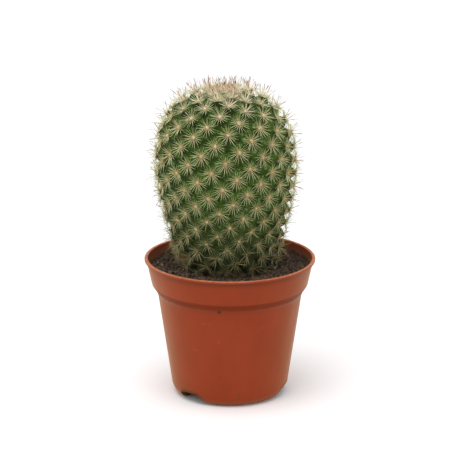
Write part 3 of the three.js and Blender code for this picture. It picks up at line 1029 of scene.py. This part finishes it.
# what the pieces on the areoles share; each has its own dictionary below
spineSizes = {
    "Count": 4,
    "Length": 0.0080,
    "Length Spread": 0.15,
    "Rise": math.radians(52),  # from the skin
    "Rise Spread": math.radians(16),
    "Crown Rise": math.radians(10),  # more on the youngest areoles
    "Crown Share": 1.0,  # of the length, on the youngest areoles
    "Crown Count": 1.0,  # share that has grown there
    "Base Share": 1.0,  # of the thickness, on the lowest areoles
    "Base Count": 1.0,  # share that is left there
    "Upward Extra": 0.0,  # length added where the areole faces up
    "Downhill Extra": 0.0,  # length added on the side away from the crown
    "Uphill Lean": 0.0,
    "Root Radius": 0.00014,
    "Root Reach": 0.0005,  # how far from the middle of the areole it stands
    "Heading Spread": 0.6,  # of the angle between two neighbours
    "Sink": 0.0003,
    "Bend": 0.0006,
    "Fullness": 0.86,
}
radialSizes = {
    **spineSizes,
    "Count": 21,
    "Length": 0.0065,
    "Length Spread": 0.11,
    "Rise": math.radians(20),
    "Rise Spread": math.radians(7),
    "Crown Rise": math.radians(62),
    "Crown Share": 0.5,
    "Crown Count": 0.8,
    "Base Share": 0.52,
    "Base Count": 0.6,
    "Upward Extra": 0.1,
    "Downhill Extra": 0.12,
    "Root Radius": 0.00015,
    "Root Reach": 0.0008,
    "Heading Spread": 0.22,
    "Bend": 0.0004,
    "Fullness": 0.5,
    "Seed": 11,
}
centralSizes = {
    **spineSizes,
    "Length": 0.0077,
    "Rise": math.radians(56),
    "Crown Rise": math.radians(32),
    "Crown Share": 0.6,
    "Base Share": 0.8,
    "Base Count": 0.6,
    "Upward Extra": 0.24,
    "Uphill Lean": 0.22,
    "Fullness": 0.84,
    "Seed": 37,
}
crownSizes = {
    **spineSizes,
    "Length": 0.0086,
    "Length Spread": 0.12,
    "Rise": math.radians(68),
    "Rise Spread": math.radians(20),
    "Crown Rise": math.radians(8),
    "Crown Share": 0.42,
    "Upward Extra": 0.10,
    "Root Radius": 0.00019,
    "Root Reach": 0.0009,
    "Heading Spread": 0.8,
    "Seed": 71,
}
baseSizes = {
    **spineSizes,
    "Count": 5,
    "Length": 0.0098,
    "Length Spread": 0.3,
    "Rise": math.radians(38),
    "Rise Spread": math.radians(24),
    "Crown Rise": 0.0,
    "Uphill Lean": 0.15,
    "Root Radius": 0.00008,
    "Root Reach": 0.0006,
    "Heading Spread": 0.9,
    "Bend": 0.0010,
    "Fullness": 0.7,
    "Seed": 23,
}
woolSizes = {
    **spineSizes,
    "Count": 44,
    "Length": 0.0014,
    "Length Spread": 0.45,
    "Rise Spread": math.radians(35),
    "Crown Share": 1.5,
    "Base Share": 0.6,
    "Base Count": 0.5,
    "Upward Extra": 0.3,
    "Root Radius": 0.00013,
    "Root Reach": 0.0013,
    "Heading Spread": 3.0,
    "Sink": 0.0001,
    "Fullness": 0.4,
    "Seed": 5,
}
crownWoolSizes = {
    **woolSizes,
    "Count": 40,
    "Length": 0.0019,
    "Length Spread": 0.4,
    "Rise": math.radians(48),
    "Rise Spread": math.radians(34),
    "Crown Share": 0.9,
    "Base Share": 1.0,
    "Base Count": 1.0,
    "Root Radius": 0.00012,
    "Root Reach": 0.0020,
    "Bend": 0.0010,
    "Seed": 90,
}
padSizes = {
    "Radius": 0.00128,
    "Height": 0.0007,
    "Base Share": 0.45,
    "Lumps": 0.0009,
    "Lump Scale": 1100.0,
}
oldHeights = (0.090, 0.124)  # areoles below the first are old, and from the second they are whole
oldPadHeights = (0.088, 0.120)
soilClearance = 0.0020
# the tubercles are numbered from the crown down
crownWoolAreoles = slice(0, 17)
crownSpineAreoles = slice(2, 31)
baseSpineAreoles = slice(-40, None)
allAreoles = slice(None)

# tipFrom is where along the spine its tip's colour starts, and youth the ages that stop being young; the
# colour for the spines that point up their tubercle is painted shade
radialTones = {
    "root": (224, 204, 144),
    "middle": (247, 250, 198),
    "upwardShade": (184, 202, 140),
    "tip": (232, 236, 186),
    "tipFrom": 0.8,
    "young": (254, 248, 218),
    "youngRoot": (252, 242, 204),
    "youth": (0.04, 0.18),
}
centralTones = {
    "root": (214, 196, 144),
    "middle": (206, 184, 130),
    "upwardShade": (204, 180, 132),
    "tip": (74, 40, 24),
    "tipFrom": 0.5,
    "young": (248, 232, 204),
    "youngRoot": (250, 240, 210),
    "youth": (0.05, 0.22),
}
crownTones = {
    "root": (254, 244, 208),
    "middle": (254, 240, 206),
    "upwardShade": (254, 244, 212),
    "tip": (134, 58, 32),
    "tipFrom": 0.52,
    "young": (254, 200, 162),
    "youngRoot": (254, 244, 206),
    "youth": (0.026, 0.07),
}
baseTones = {
    "root": (140, 112, 72),
    "middle": (206, 182, 134),
    "upwardShade": (206, 182, 134),
    "tip": (120, 92, 64),
    "tipFrom": 0.7,
    "young": (206, 182, 134),
    "youngRoot": (140, 112, 72),
    "youth": (0.05, 0.22),
}
agedTones = {"weathered": (206, 190, 160), "old": (144, 144, 94), "foot": (116, 112, 78)}
woolTones = {"dark": (170, 150, 100), "pale": (220, 206, 160), "brown": (142, 112, 62)}
crownWoolTones = {"dark": (252, 240, 208), "pale": (254, 250, 232), "brown": (236, 186, 140)}
agedWoolTones = {"young": (242, 232, 202), "old": (110, 98, 60)}
# heights between which spines turn dull, are lightened again as painted light against the shade near the
# soil and are darker at the foot, and wool turns old
agedHeights = {
    "dull": (0.142, 0.110),
    "paintedLightLow": (0.094, 0.108),
    "foot": (0.093, 0.083),
    "wool": (0.112, 0.086),
}
# ages between which spines weather, and at which wool stops being young
ageSpans = {"weathered": (0.05, 0.22), "wool": (0.0, 0.34)}


def placesMesh(name, rows):
    points = leaning(tubercles["at"])[rows]
    mesh = bpy.data.meshes.new(name)
    mesh.from_pydata([tuple(p) for p in points], [], [])
    for key in ("out", "uphill"):
        storeAttribute(mesh, key, tubercles[key][rows], "FLOAT_VECTOR")
    for key in ("size", "age"):
        storeAttribute(mesh, key, tubercles[key][rows])
    return mesh


def spineTree(name, sizes, sides, segments, scatter):
    tree, given = newTree(name, sizes)
    inputs = {"Geometry": given["Geometry"], "Amount": given["Count"]}
    copies = addNode(tree, "GeometryNodeDuplicateElements", inputs, domain="POINT").outputs
    out = named(tree, "out", "FLOAT_VECTOR")
    uphill = named(tree, "uphill", "FLOAT_VECTOR")
    size = named(tree, "size")
    # heading round the areole, a share of the full turn for each spine and a little at random
    order = plus(tree, copies["Duplicate Index"], wander(tree, given, 0, "Heading Spread"))
    heading = times(tree, mathNode(tree, "DIVIDE", order, given["Count"]), 2 * math.pi)
    cos, sin = mathNode(tree, "COSINE", heading), mathNode(tree, "SINE", heading)
    across = vectorNode(tree, "CROSS_PRODUCT", out, uphill)
    flat = vectorNode(tree, "ADD", scaled(tree, uphill, cos), scaled(tree, across, sin))
    rise = plus(tree, given["Rise"], times(tree, minus(tree, 1.0, size), given["Crown Rise"]))
    rise = plus(tree, rise, wander(tree, given, 1, "Rise Spread"))
    level = scaled(tree, flat, mathNode(tree, "COSINE", rise))
    away = vectorNode(tree, "ADD", level, scaled(tree, out, mathNode(tree, "SINE", rise)))
    away = vectorNode(tree, "ADD", away, scaled(tree, uphill, given["Uphill Lean"]))
    # length, longer downhill and where it points up
    downhill = times(tree, cos, times(tree, given["Downhill Extra"], -1.0))
    share = plus(tree, 1.0, plus(tree, wander(tree, given, 2, "Length Spread"), downhill))
    grown = mapRange(tree, size, 0.3, 1.0, given["Crown Share"], 1.0)
    upness = mathNode(tree, "MAXIMUM", parted(tree, out)["Z"], 0.0)
    taller = plus(tree, 1.0, times(tree, upness, given["Upward Extra"]))
    length = times(tree, times(tree, times(tree, given["Length"], share), grown), taller)
    # where it stands on its areole
    reach = times(tree, given["Root Reach"], size)
    if scatter:
        reach = times(tree, reach, mathNode(tree, "SQRT", randomValue(tree, given, 5, 0.0, 1.9)))
    root = vectorNode(tree, "SUBTRACT", scaled(tree, flat, reach), scaled(tree, out, given["Sink"]))
    points = shifted(tree, copies["Geometry"], Offset=root)
    # the lowest ones lie out over the soil instead of going into it
    rootZ = parted(tree, pointPlace(tree))["Z"]
    clearance = minus(tree, soilSizes["level"] + soilClearance, rootZ)
    parts = parted(tree, away)
    lifted = mathNode(tree, "MAXIMUM", parts["Z"], mathNode(tree, "DIVIDE", clearance, length))
    away = combined(tree, parts["X"], parts["Y"], lifted)
    inputs = {"Axis": (0, 0, 1), "Angle": randomValue(tree, given, 3, 0.0, 2 * math.pi)}
    spin = addNode(tree, "FunctionNodeAxisAngleToRotation", inputs).outputs[0]
    inputs = {"Rotation": facing(tree, away), "Rotate By": spin}
    turned = addNode(tree, "FunctionNodeRotateRotation", inputs, rotation_space="LOCAL").outputs[0]
    # one spine, of unit length, thin and bent
    height = parted(tree, pointPlace(tree))["Z"]
    bend = times(tree, mathNode(tree, "POWER", height, 2.0), given["Bend"])
    spine = slimCone(tree, sides, segments, given["Root Radius"], given["Fullness"], bend)
    spine = keep(tree, spine, "along", height)
    spine = addNode(tree, "GeometryNodeSetShadeSmooth", {"Geometry": spine}).outputs[0]
    low = mapRange(tree, rootZ, *oldHeights, given["Base Share"], 1.0)
    thick = times(tree, randomValue(tree, given, 4, 0.8, 1.2), low)
    # old areoles near the foot have lost some, and the youngest haven't grown all of theirs
    left = mapRange(tree, rootZ, *oldHeights, given["Base Count"], 1.0)
    left = times(tree, left, mapRange(tree, size, 0.45, 0.85, given["Crown Count"], 1.0))
    standing = mathNode(tree, "LESS_THAN", randomValue(tree, given, 7), left)
    spines = standOn(tree, points, spine, turned, combined(tree, thick, thick, length), standing)
    spines = keep(tree, spines, "shade", randomValue(tree, given, 6), "INSTANCE")
    spines = keep(tree, spines, "upward", cos, "INSTANCE")
    finishTree(tree, spines, given["Material"])
    return tree


def growOnAreoles(name, sizes, sides, segments, material, areoles, scatter=False):
    tree = spineTree(name + "_tree", sizes, sides, segments, scatter)
    return grow(name, placesMesh(name, areoles), tree, sizes, material)


def padTree():
    # a low cushion of felt under the spines of each areole
    tree, given = newTree("areole_pads_tree", padSizes)
    height = parted(tree, pointPlace(tree))["Z"]
    size = times(tree, named(tree, "size"), mapRange(tree, height, *oldPadHeights, given["Base Share"], 1.0))
    wide, tall = times(tree, given["Radius"], size), times(tree, given["Height"], size)
    ball = addNode(tree, "GeometryNodeMeshIcoSphere", {"Radius": 1.0, "Subdivisions": 2}).outputs["Mesh"]
    ball = keep(tree, ball, "along", 0.5)
    turned = facing(tree, named(tree, "out", "FLOAT_VECTOR"))
    pads = standOn(tree, given["Geometry"], ball, turned, combined(tree, wide, wide, tall))
    pads = keep(tree, pads, "shade", 0.35, "INSTANCE")
    pads = addNode(tree, "GeometryNodeSetShadeSmooth", {"Geometry": lumpy(tree, pads, given)}).outputs[0]
    finishTree(tree, pads, given["Material"])
    return tree


def spineMaterial(name, tones):
    material, tree, shader = newMaterial(name, 0.5, Specular_IOR_Level=0.12)
    along = attributeValue(tree, "along")
    age = attributeValue(tree, "age")
    height = parted(tree, objectPlace(tree))["Z"]
    fresh = mapRange(tree, age, *tones["youth"], 1.0, 0.0)
    # the ones that point up their tubercle are coloured darker and greener, as painted shade
    upward = ramp(tree, attributeValue(tree, "upward"), -0.1, 0.7)
    middle = mixColour(tree, upward, tones["middle"], tones["upwardShade"])
    colour = mixColour(tree, fresh, middle, tones["young"])
    root = mixColour(tree, fresh, tones["root"], tones["youngRoot"])
    colour = mixColour(tree, ramp(tree, along, 0.05, 0.3), root, colour)
    tipEnd = min(tones["tipFrom"] + 0.3, 1.0)
    colour = mixColour(tree, ramp(tree, along, tones["tipFrom"], tipEnd), colour, tones["tip"])
    weathered = times(tree, ramp(tree, age, *ageSpans["weathered"]), attributeValue(tree, "shade"))
    dull = mixColour(tree, ramp(tree, weathered, 0.0, 1.0, 0.5), (255, 255, 255), agedTones["weathered"])
    colour = mixColour(tree, 1.0, colour, dull, "MULTIPLY")
    # lower down they are older and duller; just above the foot part of that dullness is taken back as
    # painted light against the shade there, and at the foot they are darker
    dullness = ramp(tree, height, *agedHeights["dull"], 0.58)
    dullness = times(tree, dullness, mapRange(tree, height, *agedHeights["paintedLightLow"], 0.45, 1.0))
    colour = mixColour(tree, dullness, colour, agedTones["old"])
    colour = mixColour(tree, ramp(tree, height, *agedHeights["foot"], 0.72), colour, agedTones["foot"])
    tree.links.new(colour, shader.inputs["Base Color"])
    return material


def woolMaterial(name, tones):
    material, tree, shader = newMaterial(name, 0.9, Specular_IOR_Level=0.08, Sheen_Weight=0.12)
    place = objectPlace(tree)
    colour = mixColour(tree, attributeValue(tree, "shade"), tones["dark"], tones["pale"])
    young = mapRange(tree, attributeValue(tree, "age"), *ageSpans["wool"], 1.0, 0.0)
    colour = mixColour(tree, young, colour, agedWoolTones["young"])
    dots = noiseTexture(tree, place, 1300, 1)
    colour = mixColour(tree, ramp(tree, dots, 0.50, 0.60, 0.7), colour, tones["brown"])
    low = ramp(tree, parted(tree, place)["Z"], *agedHeights["wool"], 0.7)
    colour = mixColour(tree, low, colour, agedWoolTones["old"])
    tree.links.new(colour, shader.inputs["Base Color"])
    return material


# building it all

pot = makePot()
pot.data.materials.append(potMaterial("pot_plastic", 0.085, 0.19))
pot.data.materials.append(potMaterial("pot_plastic_matt", 0.015, 0.06))
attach(pot, "root")
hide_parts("pot")
print("pot done")

soil = makeSoil()
soil.data.materials.append(soilMaterial())
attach(soil, "root")
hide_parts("soil")
crumbLook = crumbMaterial("soil_crumb", *crumbTones)
fibreLook = crumbMaterial("soil_fibre", *fibreTones)
for piece in (
    grow("soil_crumbs", soilFace(), crumbTree(), crumbSizes, crumbLook),
    grow("soil_fibres", soilFace(), fibreTree(), fibreSizes, fibreLook),
):
    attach(piece, "root")
print("soil done")

body = makeBody()
body.data.materials.append(bodyMaterial())
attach(body, "root")
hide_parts("cactus")

radialLook = spineMaterial("radial_spines", radialTones)
centralLook = spineMaterial("central_spines", centralTones)
crownLook = spineMaterial("crown_spines", crownTones)
baseLook = spineMaterial("base_spines", baseTones)
woolLook = woolMaterial("areole_wool", woolTones)
crownWoolLook = woolMaterial("crown_wool", crownWoolTones)
for piece in (
    growOnAreoles("radial_spines", radialSizes, 3, 3, radialLook, allAreoles),
    growOnAreoles("central_spines", centralSizes, 4, 4, centralLook, allAreoles),
    growOnAreoles("crown_spines", crownSizes, 4, 5, crownLook, crownSpineAreoles),
    growOnAreoles("base_spines", baseSizes, 4, 4, baseLook, baseSpineAreoles),
    growOnAreoles("crown_wool", crownWoolSizes, 3, 2, crownWoolLook, crownWoolAreoles, scatter=True),
    growOnAreoles("areole_wool", woolSizes, 3, 2, woolLook, allAreoles, scatter=True),
    grow("areole_pads", placesMesh("areole_pads", allAreoles), padTree(), padSizes, woolLook),
):
    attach(piece, "root")
print("cactus done")


# the studio

studio = {
    "floorReach": 9,
    "elevation": 16.24,
    "distance": 1.6,
    "lens": 209.05,
    "sensor": 36,
    "clip": (0.05, 60),
    "target": (-0.0030, 0.0, 0.1063),
    "worldStrength": 0.96,
    "lightTarget": (0, 0, 0.11),
}
# place, size and power
lights = {
    "key": ((-0.2, -0.5, 1.5), 1.1, 9),
    "fill": ((-0.9, -0.6, 0.6), 0.8, 0.5),
}


def makeFloor():
    r = studio["floorReach"]
    floor = meshObject("floor", [(-r, -r, 0), (r, -r, 0), (r, r, 0), (-r, r, 0)], [(0, 1, 2, 3)])
    material, tree, shader = newMaterial("floor_white", 0.9, Specular_IOR_Level=0.0)
    shader.inputs["Base Color"].default_value = (0.97, 0.97, 0.97, 1)
    floor.data.materials.append(material)


def facingAway(direction):
    # lamps and cameras look down their own -Z
    return direction.to_track_quat("Z", "Y").to_euler()


def makeLights():
    world = bpy.data.worlds.new("studio")
    world.use_nodes = True
    background = world.node_tree.nodes["Background"]
    background.inputs["Color"].default_value = (1, 1, 1, 1)
    background.inputs["Strength"].default_value = studio["worldStrength"]
    scene.world = world
    for name, (place, size, power) in lights.items():
        light = bpy.data.lights.new(name, "AREA")
        light.shape, light.size, light.energy = "DISK", size, power
        lamp = linkObject(bpy.data.objects.new(name, light))
        lamp.location = place
        lamp.rotation_euler = facingAway(Vector(place) - Vector(studio["lightTarget"]))


def makeCamera():
    camera = linkObject(bpy.data.objects.new("camera", bpy.data.cameras.new("camera")))
    camera.data.lens = studio["lens"]
    camera.data.sensor_width = studio["sensor"]
    camera.data.clip_start, camera.data.clip_end = studio["clip"]
    rise = math.radians(studio["elevation"])
    back = Vector((0, -math.cos(rise), math.sin(rise)))
    camera.location = Vector(studio["target"]) + back * studio["distance"]
    camera.rotation_euler = facingAway(back)
    scene.camera = camera
    scene.view_settings.view_transform = "Standard"


makeFloor()
makeLights()
makeCamera()
print("studio done")
